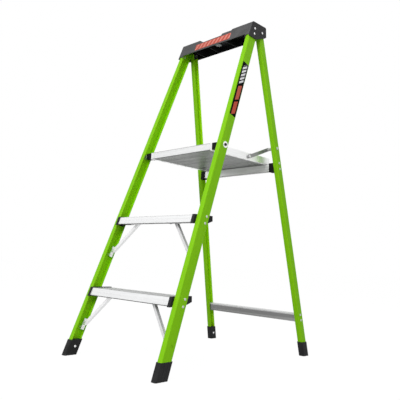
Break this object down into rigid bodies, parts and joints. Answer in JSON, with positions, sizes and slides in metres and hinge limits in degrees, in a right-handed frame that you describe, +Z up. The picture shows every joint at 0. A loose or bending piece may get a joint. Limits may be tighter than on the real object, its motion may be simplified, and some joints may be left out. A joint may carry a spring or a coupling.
{
  "type": "platform step ladder",
  "caption": "Folding glass-fibre platform step ladder with aluminium treads, a hinged standing platform, a rear frame that folds, side links and a moulded tool-tray cap.",
  "frame": {"origin": "on the floor, at the middle of the footprint of the open ladder", "axes": "+X to the right and +Y to the back as seen from the climbing side, +Z up; the climbing side faces -Y"},
  "size_m": [0.597, 0.917, 1.473],
  "materials": {
    "fibreglass_yellow_green": "pultruded glass fibre with a satin skin, bright yellow-green",
    "cap_dark_grey": "moulded, fine grain, dark grey",
    "moulded_black": "moulded, fine grain, black",
    "aluminium_mill": "mill-finish extrusion, die lines along its length",
    "steel_zinc": "zinc plated, dull",
    "pin_steel": "zinc plated, bright",
    "rivet_aluminium": "pressed heads, slightly dulled",
    "bolt_black": "black oxide",
    "nylon_grey": "moulded, plain"
  },
  "bodies": {
    "front_frame": {"front_rail_left": "fibreglass_yellow_green", "front_rail_right": "fibreglass_yellow_green", "top_cap": "cap_dark_grey", "cap_rivets": "rivet_aluminium", "hinge_pin_left": "pin_steel", "hinge_pin_right": "pin_steel", "tread_lower": "aluminium_mill", "tread_upper": "aluminium_mill", "step_bracket_lower_left": "moulded_black", "step_bracket_lower_right": "moulded_black", "step_bracket_upper_left": "moulded_black", "step_bracket_upper_right": "moulded_black", "step_rivets": "rivet_aluminium", "knee_brace_lower_left": "steel_zinc", "knee_brace_lower_right": "steel_zinc", "knee_brace_upper_left": "steel_zinc", "knee_brace_upper_right": "steel_zinc", "brace_spacers": "nylon_grey", "brace_rivets": "rivet_aluminium", "pivot_bolt_left": "bolt_black", "pivot_bolt_right": "bolt_black", "pivot_washers": "pin_steel", "pivot_nuts": "steel_zinc", "pivot_spacers": "nylon_grey", "front_foot_left": "moulded_black", "front_foot_right": "moulded_black", "front_foot_rivets": "rivet_aluminium"},
    "rear_frame": {"rear_rail_left": "fibreglass_yellow_green", "rear_rail_right": "fibreglass_yellow_green", "hinge_block_left": "moulded_black", "hinge_block_right": "moulded_black", "rear_crossbar": "aluminium_mill", "crossbar_bracket_left": "moulded_black", "crossbar_bracket_right": "moulded_black", "crossbar_rivets": "rivet_aluminium", "lower_brace": "aluminium_mill", "lower_brace_rivets": "rivet_aluminium", "rear_foot_left": "moulded_black", "rear_foot_right": "moulded_black", "rear_foot_rivets": "rivet_aluminium", "link_rear_rivets": "rivet_aluminium", "link_spacers": "nylon_grey"},
    "platform": {"deck_plank_1": "aluminium_mill", "deck_plank_2": "aluminium_mill", "deck_plank_3": "aluminium_mill", "deck_plank_4": "aluminium_mill", "platform_side_left": "aluminium_mill", "platform_side_right": "aluminium_mill", "platform_rivets": "rivet_aluminium", "pivot_block_left": "moulded_black", "pivot_block_right": "moulded_black"},
    "link_left": {"link_left": "steel_zinc", "link_front_rivet_left": "rivet_aluminium"},
    "link_right": {"link_right": "steel_zinc", "link_front_rivet_right": "rivet_aluminium"}
  },
  "joints": [
    {"name": "rear_fold", "type": "hinge", "parent": "front_frame", "child": "rear_frame", "pos_m": [0, 0.1337, 1.436], "axis": [-1, 0, 0], "range_deg": [0, 31.6]},
    {"name": "platform_fold", "type": "hinge", "parent": "front_frame", "child": "platform", "pos_m": [0, -0.11133, 0.8744], "axis": [1, 0, 0], "range_deg": [0, 71.1]},
    {"name": "link_left_fold", "type": "hinge", "parent": "rear_frame", "child": "link_left", "pos_m": [-0.1952, 0.24118, 0.9244], "axis": [-1, 0, 0], "range_deg": [0, 84.3]},
    {"name": "link_right_fold", "type": "hinge", "parent": "rear_frame", "child": "link_right", "pos_m": [0.1952, 0.24118, 0.9244], "axis": [-1, 0, 0], "range_deg": [0, 84.3]}
  ],
  "couplings": [
    {"joint": "platform_fold", "follows": "rear_fold", "ratio": 2.247},
    {"joint": "link_left_fold", "follows": "rear_fold", "ratio": 2.663},
    {"joint": "link_right_fold", "follows": "rear_fold", "ratio": 2.663}
  ]
}
